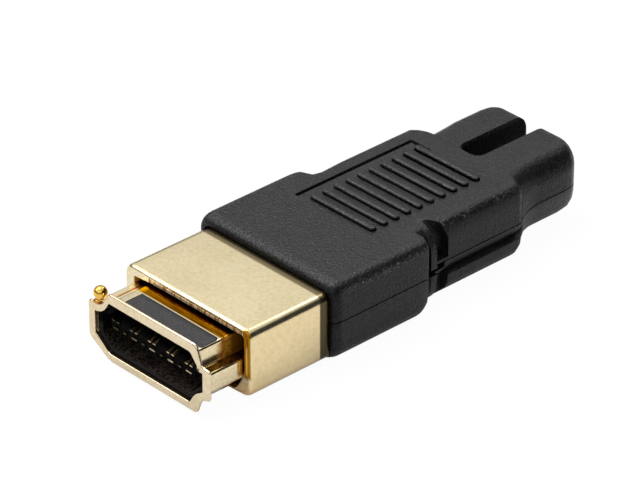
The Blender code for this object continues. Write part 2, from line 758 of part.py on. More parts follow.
def contact_line(side):
    """Centre line of a contact, side +1 above the board and -1 below: (y, z) from tail to nose."""
    flat = upper_contact_height - parting_height
    shape_points = [(board_front + tail_overlap, 0), (cavity_end, 0), (0.70 * cavity_end, 0.25),
                    (0.38 * cavity_end, 0.90), (0.27 * cavity_end, 1.0), (0.17 * cavity_end, 0.85),
                    (tongue_front + 0.1 * mm, 0.3), (tongue_front - contact_nose, 0.1)]
    return [(y, parting_height + side * (flat + contact_rise * lift)) for y, lift in shape_points]


def contact_mesh(x, width, side):
    half = contact_thickness / 2
    line = contact_line(side)
    profile = [(y, z + half) for y, z in line] + [(y, z - half) for y, z in line[::-1]]
    return prism(profile, x - width / 2, x + width / 2, "x")


def contact_slot(x, width, side):
    """The groove in the tongue and the hole through the insulator's back for one contact."""
    inner = upper_contact_height - parting_height - contact_thickness / 2 - contact_clearance
    hole = inner + contact_thickness + 2 * contact_clearance + contact_rise * 0.1
    open_side = tongue_thickness / 2 + 0.1 * mm
    profile = [(-0.2 * mm, inner), (insulator_back + 0.5 * mm, inner), (insulator_back + 0.5 * mm, hole),
               (cavity_end, hole), (cavity_end, open_side), (-0.2 * mm, open_side)]
    half = width / 2 + contact_clearance
    return prism([(y, parting_height + side * z) for y, z in profile], x - half, x + half, "x")


group_places = [group_pitch * (i - (group_count - 1) / 2) for i in range(group_count)]
upper_contacts = [(x + s * pair_spacing / 2, contact_width) for x in group_places for s in (-1, 1)]
lower_contacts = [(group_places[0] + i * group_pitch / 2, (contact_wide, contact_width)[i % 2])
                  for i in range(2 * group_count - 1)]
rows = [("contact_upper", 1, upper_contacts), ("contact_lower", -1, lower_contacts)]
for row_name, side, places in rows:
    for number, (x, width) in enumerate(places, 1):
        add_piece(f"{row_name}_{number:02d}", contact_mesh(x, width, side), (0.83, 0.62, 0.28), 0.22,
                  1.0, receptacle)
cut(insulator, add_object("contact_slots", merged(
    [contact_slot(x, width, side) for _, side, places in rows for x, width in places]), receptacle))

# Comb that spaces the tails between the insulator and the board
spacer = add_piece("contact_spacer", box(-spacer_half_width, spacer_half_width, spacer_front,
                                         spacer_front + spacer_length, parting_height - spacer_height / 2,
                                         parting_height + spacer_height / 2), (0.05, 0.05, 0.055), 0.5,
                   parent=receptacle)
reach = contact_thickness / 2 + contact_clearance
cut(spacer, add_object("spacer_slots", merged(
    [box(x - width / 2 - contact_clearance, x + width / 2 + contact_clearance, spacer_front - 0.5 * mm,
         spacer_front + spacer_length + 0.5 * mm,
         parting_height + side * (upper_contact_height - parting_height) - reach,
         parting_height + side * (upper_contact_height - parting_height) + reach)
     for _, side, places in rows for x, width in places]), receptacle))

# Board that the tails straddle, narrow inside the shell and wide between the posts
board_shoulder = shell_length + spacer_gap
board_back = board_front + board_length
board_plan = [(-board_front_half_width, board_front), (board_front_half_width, board_front),
              (board_front_half_width, board_shoulder), (board_rear_half_width, board_shoulder),
              (board_rear_half_width, board_back), (-board_rear_half_width, board_back),
              (-board_rear_half_width, board_shoulder), (-board_front_half_width, board_shoulder)]
solder_board = add_piece("solder_board", prism(board_plan, board_low, board_high, "z"),
                         (0.02, 0.10, 0.05), 0.45)
cut(solder_board, add_object("board_holes", merged(
    [prism(circle(x, y, post_pin_radius + peg_slack), board_low - 1 * mm, board_high + 1 * mm, "z")
     for x, y in post_places])))


# Ball-ended pin standing in the rim's upper left notch

def ball_pin():
    """A pin that leans from its foot on the rim to the ball: rings of height, radius, side and place."""
    low = rim_corners[0][1] + fit_gap / 2
    neck = ball_height - ball_radius * 0.9
    levels = [(low, 0.75 * foot_radius, 0), (low + 0.08 * mm, foot_radius, 0),
              (low + 0.22 * mm, 1.05 * stem_radius, 0.45), ((low + neck) / 2 + 0.06 * mm, stem_radius, 0.85)]
    for s in range(1, 9):
        a = -pi / 2 + pi * (s + 0.6) / 10
        levels.append((ball_height + ball_radius * sin(a), ball_radius * cos(a), 1))
    levels.append((ball_height + ball_radius * 0.995, ball_radius * 0.12, 1))
    rings = []
    for z, radius, share in levels:
        x = foot_side + (ball_side - foot_side) * share
        y = foot_place + (ball_place - foot_place) * share
        rings.append([Vector((x + radius * cos(2 * pi * i / 16), y + radius * sin(2 * pi * i / 16), z))
                      for i in range(16)])
    return loft(rings)


ball_stud = add_piece("ball_stud", ball_pin(), (0.85, 0.58, 0.16), 0.15, 1.0, receptacle)
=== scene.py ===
import bpy
import bmesh
from math import cos, pi, radians, sin
from mathutils import Matrix, Vector


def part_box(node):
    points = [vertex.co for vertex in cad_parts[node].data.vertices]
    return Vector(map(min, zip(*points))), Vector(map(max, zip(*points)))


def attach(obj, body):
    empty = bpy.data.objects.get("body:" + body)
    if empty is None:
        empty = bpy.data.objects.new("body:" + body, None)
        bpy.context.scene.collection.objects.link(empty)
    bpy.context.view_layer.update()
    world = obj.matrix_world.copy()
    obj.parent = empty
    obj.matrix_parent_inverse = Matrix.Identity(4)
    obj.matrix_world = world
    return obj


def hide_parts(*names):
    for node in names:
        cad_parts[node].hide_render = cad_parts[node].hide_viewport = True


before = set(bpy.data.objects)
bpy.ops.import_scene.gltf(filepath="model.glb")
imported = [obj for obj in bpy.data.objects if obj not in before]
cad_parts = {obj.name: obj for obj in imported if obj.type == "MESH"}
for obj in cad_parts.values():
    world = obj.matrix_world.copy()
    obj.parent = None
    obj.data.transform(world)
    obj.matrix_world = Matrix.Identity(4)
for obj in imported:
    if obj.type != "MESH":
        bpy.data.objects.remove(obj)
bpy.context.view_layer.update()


# Studio
# A sheet of white paper under a light tent. The tent is dark where it meets the table and in one tall
# panel at the right behind, and both draw the dark lines along the edges of the gilt parts. The
# paper is white to the eye but sends on a grey light, so the low edges stay dark too.

mm = 0.001
mouth_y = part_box("socket_shell")[0].y

photo_width, focal_pixels, sensor = 640, 4461, 36
camera_data = bpy.data.cameras.new("photo_camera")
camera_data.sensor_width = sensor
camera_data.lens = focal_pixels / photo_width * sensor
camera_data.clip_start = 0.01
camera = bpy.data.objects.new("photo_camera", camera_data)
bpy.context.collection.objects.link(camera)
turn, lift, distance = radians(47.0), radians(30.98), 400 * mm
aim = Vector((-1.45 * mm, mouth_y + 22.0 * mm, 5.27 * mm))
backwards = Vector((sin(turn) * cos(lift), -cos(turn) * cos(lift), sin(lift)))
rightwards = (-backwards).cross(Vector((0, 0, 1))).normalized()
pose = Matrix((rightwards, rightwards.cross(-backwards), backwards)).transposed().to_4x4()
pose.translation = aim + backwards * distance
camera.matrix_world = pose
bpy.context.scene.camera = camera
bpy.context.scene.view_settings.view_transform = "Standard"


def feed(tree, socket, source):
    """Links a source to a socket, or writes it there where it is a number, a colour or a vector."""
    if hasattr(source, "links"):
        tree.links.new(source, socket)
    else:
        socket.default_value = (*source, 1) if socket.type == "RGBA" else source


def math_node(tree, operation, first, second=0.0):
    node = tree.nodes.new("ShaderNodeMath")
    node.operation = operation
    feed(tree, node.inputs[0], first)
    feed(tree, node.inputs[1], second)
    return node.outputs[0]


def product(tree, *masks):
    result = masks[0]
    for mask in masks[1:]:
        result = math_node(tree, "MULTIPLY", result, mask)
    return result


def step(tree, value, low, high, soft=True):
    """A step from 0 at low to 1 at high; a high below low turns it round."""
    node = tree.nodes.new("ShaderNodeMapRange")
    node.interpolation_type = "SMOOTHSTEP" if soft else "LINEAR"
    node.inputs["From Min"].default_value = low
    node.inputs["From Max"].default_value = high
    tree.links.new(value, node.inputs["Value"])
    return node.outputs[0]


def ramp_between(tree, source, stops):
    """A colour ramp over the source, with stops of (position, colour)."""
    node = tree.nodes.new("ShaderNodeValToRGB")
    elements = node.color_ramp.elements
    for index, (position, colour) in enumerate(stops):
        stop = elements[index] if index < 2 else elements.new(position)
        stop.position = position
        stop.color = (*colour, 1)
    tree.links.new(source, node.inputs[0])
    return node.outputs[0]


def grey(level):
    return level, level, level


def laid_over(tree, colour, mask, top):
    """The colour with another laid over it where the mask is 1."""
    mix = tree.nodes.new("ShaderNodeMix")
    mix.data_type = "RGBA"
    feed(tree, mix.inputs["Factor"], mask)
    feed(tree, mix.inputs[6], colour)
    feed(tree, mix.inputs[7], top)
    return mix.outputs[2]


tent = bpy.data.worlds.new("light_tent")
bpy.context.scene.world = tent
tent.use_nodes = True
tree = tent.node_tree
tree.nodes.clear()
direction = tree.nodes.new("ShaderNodeTexCoord").outputs["Generated"]
split = tree.nodes.new("ShaderNodeSeparateXYZ")
tree.links.new(direction, split.inputs[0])
height = split.outputs["Z"]
tent_greys = ((0.0, 0.55), (0.155, 0.45), (0.175, 0.02), (0.275, 0.02), (0.36, 0.30), (0.52, 0.78),
              (0.66, 1.0), (1.0, 0.80))
wall = ramp_between(tree, step(tree, height, -0.2, 1.0, soft=False),
                    [(place, grey(level)) for place, level in tent_greys])
side_on = tree.nodes.new("ShaderNodeVectorMath")
side_on.operation = "DOT_PRODUCT"
side_on.inputs[1].default_value = (0.81, 0.58, 0.0)
tree.links.new(direction, side_on.inputs[0])
panel = product(tree, step(tree, side_on.outputs["Value"], 0.40, 0.58), step(tree, height, 0.80, 0.68))
tent_light = tree.nodes.new("ShaderNodeBackground")
feed(tree, tent_light.inputs["Color"], laid_over(tree, wall, panel, grey(0.03)))
seen_white = tree.nodes.new("ShaderNodeBackground")
feed(tree, seen_white.inputs["Color"], grey(1.0))
rays = tree.nodes.new("ShaderNodeLightPath")
choose = tree.nodes.new("ShaderNodeMixShader")
tent_out = tree.nodes.new("ShaderNodeOutputWorld")
tree.links.new(rays.outputs["Is Camera Ray"], choose.inputs[0])
tree.links.new(tent_light.outputs[0], choose.inputs[1])
tree.links.new(seen_white.outputs[0], choose.inputs[2])
tree.links.new(choose.outputs[0], tent_out.inputs["Surface"])

paper_reach, paper_level = 3, -0.00002
paper_mesh = bpy.data.meshes.new("paper")
paper_mesh.from_pydata([(x * paper_reach, y * paper_reach, paper_level)
                        for x, y in ((-1, -1), (1, -1), (1, 1), (-1, 1))], [], [(0, 1, 2, 3)])
paper = bpy.data.objects.new("paper", paper_mesh)
bpy.context.collection.objects.link(paper)
paper_look = bpy.data.materials.new("white_paper")
paper_look.use_nodes = True
tree = paper_look.node_tree
tree.nodes.clear()
rays = tree.nodes.new("ShaderNodeLightPath")
matt = tree.nodes.new("ShaderNodeBsdfDiffuse")
shine = tree.nodes.new("ShaderNodeEmission")
lit = tree.nodes.new("ShaderNodeAddShader")
paper_out = tree.nodes.new("ShaderNodeOutputMaterial")
paper_tone = laid_over(tree, grey(0.45), rays.outputs["Is Camera Ray"], grey(0.03))
towards_gilt = math_node(tree, "MULTIPLY", rays.outputs["Is Glossy Ray"], 0.263)
towards_eye = math_node(tree, "MAXIMUM", rays.outputs["Is Camera Ray"], towards_gilt)
feed(tree, matt.inputs["Color"], paper_tone)
feed(tree, shine.inputs["Color"], grey(1.0))
feed(tree, shine.inputs["Strength"], math_node(tree, "MULTIPLY", towards_eye, 0.965))
tree.links.new(matt.outputs[0], lit.inputs[0])
tree.links.new(shine.outputs[0], lit.inputs[1])
tree.links.new(lit.outputs[0], paper_out.inputs["Surface"])
paper_mesh.materials.append(paper_look)

for name, place, size, power in (("lamp_over", (-0.14, -0.04, 0.42), 0.24, 1.9),
                                 ("lamp_left", (-0.27, -0.22, 0.27), 0.22, 0.30),
                                 ("lamp_back", (-0.02, 0.26, 0.37), 0.12, 0.16),
                                 ("lamp_front", (0.10, -0.42, 0.30), 0.30, 0.12)):
    lamp_data = bpy.data.lights.new(name, "AREA")
    lamp_data.size = size
    lamp_data.energy = power
    lamp = bpy.data.objects.new(name, lamp_data)
    lamp.location = place
    lamp.rotation_euler = (-Vector(place)).to_track_quat("-Z", "Y").to_euler()
    bpy.context.collection.objects.link(lamp)


# Moulded body
# Two halves of black nylon, moulded against a spark-eroded tool that leaves a fine dull grain, and
# closed over the sleeve along one parting line. Every outer edge is slightly softened, and along the
# long upper edges the grain is painted pale with glints of light.

def effect(name, inputs, outputs):
    """An empty shader group with number inputs (name, value) and number outputs (name)."""
    group = bpy.data.node_groups.new(name, "ShaderNodeTree")
    for label, value in inputs:
        socket = group.interface.new_socket(label, in_out="INPUT", socket_type="NodeSocketFloat")
        socket.default_value = value
    for label in outputs:
        group.interface.new_socket(label, in_out="OUTPUT", socket_type="NodeSocketFloat")
    return group, group.nodes.new("NodeGroupInput"), group.nodes.new("NodeGroupOutput")


def noise_node(tree, where, scale, detail, rough=0.5):
    node = tree.nodes.new("ShaderNodeTexNoise")
    node.inputs["Detail"].default_value = detail
    node.inputs["Roughness"].default_value = rough
    tree.links.new(where, node.inputs["Vector"])
    feed(tree, node.inputs["Scale"], scale)
    return node.outputs["Fac"]


grain, grain_in, grain_out = effect("moulded_grain", [("Grain Scale", 4200.0), ("Patch Scale", 420.0)],
                                    ["Height", "Tone"])
spot = grain.nodes.new("ShaderNodeTexCoord").outputs["Object"]
fine = noise_node(grain, spot, grain_in.outputs["Grain Scale"], 3.0, 0.6)
patch = noise_node(grain, spot, grain_in.outputs["Patch Scale"], 2.0)
pits = grain.nodes.new("ShaderNodeTexVoronoi")
grain.links.new(spot, pits.inputs["Vector"])
grain.links.new(grain_in.outputs["Grain Scale"], pits.inputs["Scale"])
feed(grain, grain_out.inputs["Height"],
     math_node(grain, "ADD", fine, math_node(grain, "MULTIPLY", pits.outputs["Distance"], 0.5)))
feed(grain, grain_out.inputs["Tone"],
     math_node(grain, "ADD", math_node(grain, "MULTIPLY", fine, 0.88),
               math_node(grain, "MULTIPLY", patch, 0.12)))


def plain_material(name, roughness, metallic=0.0):
    """A material with its Principled shader ready: returns the material, its tree and the shader."""
    material = bpy.data.materials.new(name)
    material.use_nodes = True
    shader = material.node_tree.nodes["Principled BSDF"]
    shader.inputs["Roughness"].default_value = roughness
    shader.inputs["Metallic"].default_value = metallic
    return material, material.node_tree, shader


def bump(tree, shader, source, depth, strength):
    node = tree.nodes.new("ShaderNodeBump")
    node.inputs["Distance"].default_value = depth
    node.inputs["Strength"].default_value = strength
    tree.links.new(source, node.inputs["Height"])
    tree.links.new(node.outputs[0], shader.inputs["Normal"])


def add_group(tree, group, **values):
    node = tree.nodes.new("ShaderNodeGroup")
    node.node_tree = group
    for label, value in values.items():
        node.inputs[label.replace("_", " ")].default_value = value
    return node


receptacle_x = 0.25


def along(tree, axis, low, high):
    """A soft step along one axis, in millimetres: X from the receptacle's middle, Y back from the mouth."""
    split = tree.nodes.new("ShaderNodeSeparateXYZ")
    tree.links.new(tree.nodes.new("ShaderNodeTexCoord").outputs["Object"], split.inputs[0])
    start = {"X": receptacle_x * mm, "Y": mouth_y, "Z": 0.0}[axis]
    return step(tree, split.outputs[axis], low * mm + start, high * mm + start)


def within(tree, *steps):
    """A mask that is 1 where every step of (axis, low, high) is."""
    return product(tree, *(along(tree, *edge) for edge in steps))


def nylon(name, dark, light, specular, foot=None):
    """Grained black nylon; a foot is the height below which it lies in the shade of a corner."""
    material, tree, shader = plain_material(name, 0.4)
    grained = add_group(tree, grain, Grain_Scale=4600.0, Patch_Scale=300.0)
    tone = grained.outputs["Tone"]
    pit, crest, glint_crest, glint_gain = 0.42, 0.60, 0.575, 8
    colour = ramp_between(tree, tone, [(pit, dark), (crest, light)])
    # Painted glints: along the long upper edges the crests of the grain are painted pale, as highlights.
    box_edge = within(tree, ("Z", 6.90, 7.15), ("Z", 7.75, 7.50), ("Y", 15.2, 16.2), ("Y", 26.0, 25.0))
    block_edge = within(tree, ("Z", 7.45, 7.65), ("Z", 8.04, 7.94), ("Y", 27.0, 28.0), ("Y", 38.5, 37.0))
    glint_edges = math_node(tree, "MAXIMUM", box_edge, math_node(tree, "MULTIPLY", block_edge, 0.5))
    painted_glints = product(tree, glint_edges, math_node(tree, "GREATER_THAN", tone, glint_crest))
    colour = laid_over(tree, colour, painted_glints, tuple(glint_gain * part for part in light))
    changes_of_sheen = (
        (0.36, [("Z", 7.5, 8.12)]),                                         # on the tops
        (0.14, [("Z", 5.0, 3.0)]),                                          # low on the sides
        (-0.34, [("Y", 38.6, 39.6), ("Z", 8.0, 7.6), ("Z", 5.4, 6.4)]),     # on the lobes' shoulders
        (-0.30, [("Y", 28.5, 29.5), ("Y", 38.9, 37.9),                      # in a band along the block
                 ("Z", 8.02, 7.75), ("Z", 5.9, 7.1)]),
        (-0.27, [("Y", 15.25, 14.75)]),                                     # at the edge by the sleeve
        (0.60, [("Y", 38.6, 39.6), ("Z", 4.3, 3.2)]))                       # low on the lobes
    sheen = 0.64
    for change, steps in changes_of_sheen:
        sheen = math_node(tree, "ADD", sheen, math_node(tree, "MULTIPLY", within(tree, *steps), change))
    if foot:
        lit = along(tree, "Z", foot, foot + 0.16)
        sheen = product(tree, sheen, lit)
        colour = laid_over(tree, colour, math_node(tree, "SUBTRACT", 1.0, lit), grey(0.001))
    feed(tree, shader.inputs["Roughness"], ramp_between(tree, tone, [(pit, grey(0.42)), (crest, grey(0.28))]))
    feed(tree, shader.inputs["Base Color"], colour)
    feed(tree, shader.inputs["Specular IOR Level"], math_node(tree, "MULTIPLY", sheen, specular))
    bump(tree, shader, grained.outputs["Height"], 0.09 * mm, 0.8)
    return material


nylon_dark, nylon_light = (0.0020, 0.0020, 0.0023), (0.0145, 0.0140, 0.0155)
body_look = nylon("black_nylon", nylon_dark, nylon_light, 0.36)
rib_look = nylon("rib_nylon", nylon_dark, nylon_light, 0.40, foot=8.24)
slot_look = nylon("slot_nylon", (0.0015, 0.0015, 0.0016), (0.004, 0.004, 0.0043), 0.05)


def add_piece(name, mesh, nodes):
    """Puts a mesh into the scene as the look of the named CAD nodes."""
    piece = bpy.data.objects.new(name, mesh)
    bpy.context.collection.objects.link(piece)
    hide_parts(*nodes)
    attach(piece, "root")
    return piece


def finished_copy(node, name, edge_width, material, trim_above=None):
    """A clean copy of a CAD solid: flat faces rejoined, edges softened, smooth to shade."""
    bm = bmesh.new()
    bm.from_mesh(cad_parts[node].data)
    bmesh.ops.remove_doubles(bm, verts=bm.verts, dist=0.002 * mm)
    if trim_above:
        bmesh.ops.delete(bm, geom=[v for v in bm.verts if v.co.z > trim_above], context="VERTS")
    bmesh.ops.dissolve_limit(bm, angle_limit=radians(1.0), verts=bm.verts, edges=bm.edges)
    for face in bm.faces:
        face.smooth = True
    mesh = bpy.data.meshes.new(name)
    bm.to_mesh(mesh)
    bm.free()
    mesh.materials.append(material)
    mesh.set_sharp_from_angle(angle=radians(50))
    piece = add_piece(name, mesh, [node])
    if edge_width:
        soften = piece.modifiers.new("soft_edges", "BEVEL")
        soften.width = edge_width
        soften.segments = 3
        soften.limit_method = "ANGLE"
        soften.angle_limit = radians(32)
        soften.use_clamp_overlap = True
    weigh = piece.modifiers.new("even_shading", "WEIGHTED_NORMAL")
    weigh.keep_sharp = True
    return piece


rib_height, rib_width, rib_length = 0.36 * mm, 0.70 * mm, 8.2 * mm
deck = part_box("body_upper")[1].z - rib_height
upper_half = finished_copy("body_upper", "upper_half", 0.09 * mm, body_look,
                           trim_above=deck + 0.01 * mm)
lower_half = finished_copy("body_lower", "lower_half", 0.09 * mm, body_look)
# The upright walls of the slot at the rear lie in their own shade.
slot_left, slot_right, slot_front, slot_low, slot_high = -1.95, 1.55, 38.8, 0.8, 7.9
for half in (upper_half, lower_half):
    half.data.materials.append(slot_look)
    for face in half.data.polygons:
        x, y, z = face.center.x / mm, (face.center.y - mouth_y) / mm, face.center.z / mm
        upright = abs(face.normal.z) < 0.5
        if slot_left < x < slot_right and y > slot_front and slot_low < z < slot_high and upright:
            face.material_index = 1


# Grip ribs
# Ten bars moulded in one with the top of the body, round at their ends and over their tops. One
# bar is drawn as a stretched ball, squared off a little, and the row repeats it at an even pitch.

def geometry_tree(name, inputs):
    """An empty Geometry Nodes tree with named inputs (name, kind, value) and one geometry output."""
    tree = bpy.data.node_groups.new(name, "GeometryNodeTree")
    for label, kind, value in inputs:
        socket = tree.interface.new_socket(label, in_out="INPUT", socket_type=kind)
        if value is not None:
            socket.default_value = value
    tree.interface.new_socket("Geometry", in_out="OUTPUT", socket_type="NodeSocketGeometry")
    return tree, tree.nodes.new("NodeGroupInput"), tree.nodes.new("NodeGroupOutput")


def row_of(tree, given, shape, material):
    """Repeats the shape along a line of points, and finishes the tree's output."""
    line = tree.nodes.new("GeometryNodeMeshLine")
    line.mode = "OFFSET"
    repeat = tree.nodes.new("GeometryNodeInstanceOnPoints")
    solid = tree.nodes.new("GeometryNodeRealizeInstances")
    coat = tree.nodes.new("GeometryNodeSetMaterial")
    coat.inputs["Material"].default_value = material
    tree.links.new(given.outputs["Count"], line.inputs["Count"])
    tree.links.new(given.outputs["Start"], line.inputs["Start Location"])
    tree.links.new(given.outputs["Step"], line.inputs["Offset"])
    tree.links.new(line.outputs[0], repeat.inputs["Points"])
    tree.links.new(shape, repeat.inputs["Instance"])
    tree.links.new(repeat.outputs[0], solid.inputs[0])
    tree.links.new(solid.outputs[0], coat.inputs["Geometry"])
    return coat.outputs[0]


def applied(holder):
    """The mesh of an object with its modifiers applied."""
    return bpy.data.meshes.new_from_object(holder.evaluated_get(bpy.context.evaluated_depsgraph_get()))


def grown(name, mesh, tree, values):
    """Runs a Geometry Nodes tree on a mesh and returns the result as a plain mesh."""
    seed = bpy.data.objects.new(name, mesh)
    bpy.context.collection.objects.link(seed)
    modifier = seed.modifiers.new("nodes", "NODES")
    modifier.node_group = tree
    for item in tree.interface.items_tree:
        if item.in_out == "INPUT" and item.name in values:
            modifier[item.identifier] = values[item.name]
    result = applied(seed)
    result.name = name
    bpy.data.objects.remove(seed, do_unlink=True)
    return result


rib_count = 10
rib_tree, given, end = geometry_tree("grip_ribs", [
    ("Count", "NodeSocketInt", rib_count), ("Start", "NodeSocketVector", None),
    ("Step", "NodeSocketVector", None), ("Width", "NodeSocketFloat", rib_width),
    ("Length", "NodeSocketFloat", rib_length), ("Height", "NodeSocketFloat", rib_height),
    ("Squareness", "NodeSocketFloat", 3.4)])


def rib_math(operation, first, second=0.0):
    return math_node(rib_tree, operation, first, second)


ball = rib_tree.nodes.new("GeometryNodeMeshUVSphere")
ball.inputs["Segments"].default_value = 36
ball.inputs["Rings"].default_value = 22
half_width = rib_math("MULTIPLY", given.outputs["Width"], 0.5)
rib_tree.links.new(half_width, ball.inputs["Radius"])
where = rib_tree.nodes.new("ShaderNodeSeparateXYZ")
rib_tree.links.new(rib_tree.nodes.new("GeometryNodeInputPosition").outputs[0], where.inputs[0])
x, y, z = where.outputs
shift = rib_math("SUBTRACT", rib_math("MULTIPLY", given.outputs["Length"], 0.5), half_width)
stretched = rib_math("ADD", x, rib_math("MULTIPLY", rib_math("SIGN", x), shift))
across = rib_math("SQRT", rib_math("ADD", rib_math("MULTIPLY", x, x), rib_math("MULTIPLY", y, y)))
share = rib_math("MINIMUM", rib_math("DIVIDE", across, half_width), 1.0)
fall = rib_math("SUBTRACT", 1.0, rib_math("POWER", share, given.outputs["Squareness"]))
rise = rib_math("POWER", rib_math("MAXIMUM", fall, 0.0), rib_math("DIVIDE", 1.0, given.outputs["Squareness"]))
lifted = rib_math("MULTIPLY", rib_math("MULTIPLY", rise, given.outputs["Height"]), rib_math("SIGN", z))
joined = rib_tree.nodes.new("ShaderNodeCombineXYZ")
for slot, source in enumerate((stretched, y, lifted)):
    rib_tree.links.new(source, joined.inputs[slot])
moved = rib_tree.nodes.new("GeometryNodeSetPosition")
rib_tree.links.new(ball.outputs["Mesh"], moved.inputs["Geometry"])
rib_tree.links.new(joined.outputs[0], moved.inputs["Position"])
smooth = rib_tree.nodes.new("GeometryNodeSetShadeSmooth")
rib_tree.links.new(moved.outputs[0], smooth.inputs[0])
rib_tree.links.new(row_of(rib_tree, given, smooth.outputs[0], rib_look), end.inputs[0])

rib_tops = [v.co.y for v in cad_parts["body_upper"].data.vertices if v.co.z > deck + 0.5 * rib_height]
top_width = 2 * rib_width / 3
rib_pitch = (max(rib_tops) - min(rib_tops) - top_width) / (rib_count - 1)
grow = 0.03 * mm
ribs = grown("grip_ribs", bpy.data.meshes.new("empty"), rib_tree, {
    "Count": rib_count, "Width": rib_width + grow, "Length": rib_length + grow, "Height": rib_height + grow,
    "Start": (0.15 * mm, min(rib_tops) + top_width / 2, deck - grow), "Step": (0, rib_pitch, 0)})
add_piece("grip_ribs", ribs, ["body_upper"])


# Gilt sleeve
# A drawn box of brass sheet, gold plated satin: a pale champagne tone with fine specks. Its front
# edge rolls round to a face with a hairline groove, and a lip dips in to the receptacle's window.

def outline(corners, steps=10):
    """Points of a closed outline whose corners are rounded back by the length each one states."""
    points = []
    for i, (x, z, cut) in enumerate(corners):
        here = Vector((x, z))
        before = (here - Vector(corners[i - 1][:2])).normalized()
        after = (Vector(corners[(i + 1) % len(corners)][:2]) - here).normalized()
        start, stop = here - before * cut, here + after * cut
        turn = before.cross(after)
        if abs(turn) < 0.01:
            points += [start.lerp(stop, s / steps) for s in range(steps + 1)]
            continue
        centre = start + Vector((-before.y, before.x)) * cut * (1 + before.dot(after)) / turn
        arm = start - centre
        angle = -arm.angle_signed(stop - centre)
        for s in range(steps + 1):
            a = angle * s / steps
            points.append(centre + Vector((arm.x * cos(a) - arm.y * sin(a), arm.x * sin(a) + arm.y * cos(a))))
    return points


def blend(first, second, share):
    """Corners part of the way from one outline to another."""
    return [tuple(a + (b - a) * share for a, b in zip(p, q)) for p, q in zip(first, second)]


def ring(corners, y, shift=0.0):
    """The rounded outline at a depth behind the mouth, all in millimetres of the part."""
    return [Vector(((p.x + shift) * mm, mouth_y + y * mm, p.y * mm)) for p in outline(corners)]


def strip(bm, near, far, band=0, smooth=True):
    """The faces between two rings of points."""
    for i in range(len(near)):
        face = bm.faces.new((near[i - 1], near[i], far[i], far[i - 1]))
        face.material_index = band
        face.smooth = smooth


def turned_out(name, bm, sharp=None):
    """The mesh of finished faces, all turned outwards, with edges sharper than the angle kept crisp."""
    bmesh.ops.recalc_face_normals(bm, faces=bm.faces)
    mesh = bpy.data.meshes.new(name)
    bm.to_mesh(mesh)
    bm.free()
    if sharp:
        mesh.set_sharp_from_angle(angle=radians(sharp))
    return mesh


def tube(name, rings, materials, bands):
    """A closed loft through rings; the band list gives the material of the strip behind each ring."""
    bm = bmesh.new()
    rows = [[bm.verts.new(p) for p in points] for points in rings]
    for near, far, band in zip(rows, rows[1:] + rows[:1], bands):
        strip(bm, near, far, band)
    bmesh.ops.remove_doubles(bm, verts=bm.verts, dist=0.0005 * mm)
    mesh = turned_out(name, bm, sharp=40)
    for material in materials:
        mesh.materials.append(material)
    return mesh


def painted(tree, colour, mottle, layers):
    """Lays layers of (region, colour) over a colour, in their order.

    A region is a mask or a list of steps. A colour is plain, a socket, or stops of a ramp over the mottle.
    """
    for region, top in layers:
        mask = within(tree, *region) if isinstance(region, list) else region
        colour = laid_over(tree, colour, mask, ramp_between(tree, mottle, top) if isinstance(top, list) else top)
    return colour


gilt, gilt_in, gilt_out = effect("gilt_surface", [("Speck Scale", 2600.0), ("Cloud Scale", 160.0)],
                                 ["Height", "Specks", "Clouds"])
spot = gilt.nodes.new("ShaderNodeTexCoord").outputs["Object"]
specks = noise_node(gilt, spot, gilt_in.outputs["Speck Scale"], 4.0, 0.65)
clouds = noise_node(gilt, spot, gilt_in.outputs["Cloud Scale"], 3.0)
gilt.links.new(specks, gilt_out.inputs["Height"])
gilt.links.new(specks, gilt_out.inputs["Specks"])
gilt.links.new(clouds, gilt_out.inputs["Clouds"])


def gilt_material(name, pale, deep, roughness, grain_depth, metallic=1.0, span=(0.30, 0.58), layers=()):
    """Plating whose tone wanders between two colours, with layers painted on it.

    Returns the material, its tree, its shader, the painted colour and the specks."""
    material, tree, shader = plain_material(name, roughness, metallic)
    surface = add_group(tree, gilt)
    specks = surface.outputs["Specks"]
    mixed = math_node(tree, "ADD", math_node(tree, "MULTIPLY", specks, 0.6),
                      math_node(tree, "MULTIPLY", surface.outputs["Clouds"], 0.4))
    colour = ramp_between(tree, mixed, [(span[0], deep), (span[1], pale)])
    colour = painted(tree, colour, specks, layers)
    tree.links.new(colour, shader.inputs["Base Color"])
    bump(tree, shader, surface.outputs["Height"], grain_depth, 0.5)
    return material, tree, shader, colour, specks


def tinted_edges(tree, shader, mask):
    """Where the plating is painted amber as shade, its glancing reflections are tinted amber too, as a painted
    reflection.
    """
    feed(tree, shader.inputs["Specular Tint"], laid_over(tree, grey(1.0), mask, (0.60, 0.30, 0.03)))


def amber_lip(tree, shader, colour, solid):
    """Right of the window the front is painted amber as shade, with one bright yellow line as a painted
    highlight.
    """
    front = [("X", 7.12, 7.20), ("Y", 5.02, 4.94)]
    amber = within(tree, *front, ("X", 7.93, 7.86), ("Z", 2.1, 2.6))
    line = within(tree, *front, ("X", 7.44, 7.52), ("X", 7.72, 7.64), ("Z", 2.4, 2.9), ("Z", 5.9, 5.2))
    colour = laid_over(tree, colour, amber, (0.36, 0.16, 0.006))
    colour = laid_over(tree, colour, line, (0.95, 0.66, 0.16))
    feed(tree, shader.inputs["Base Color"], colour)
    feed(tree, shader.inputs["Metallic"],
         math_node(tree, "SUBTRACT", solid, math_node(tree, "MULTIPLY", amber, 0.35)))
    tinted_edges(tree, shader, amber)


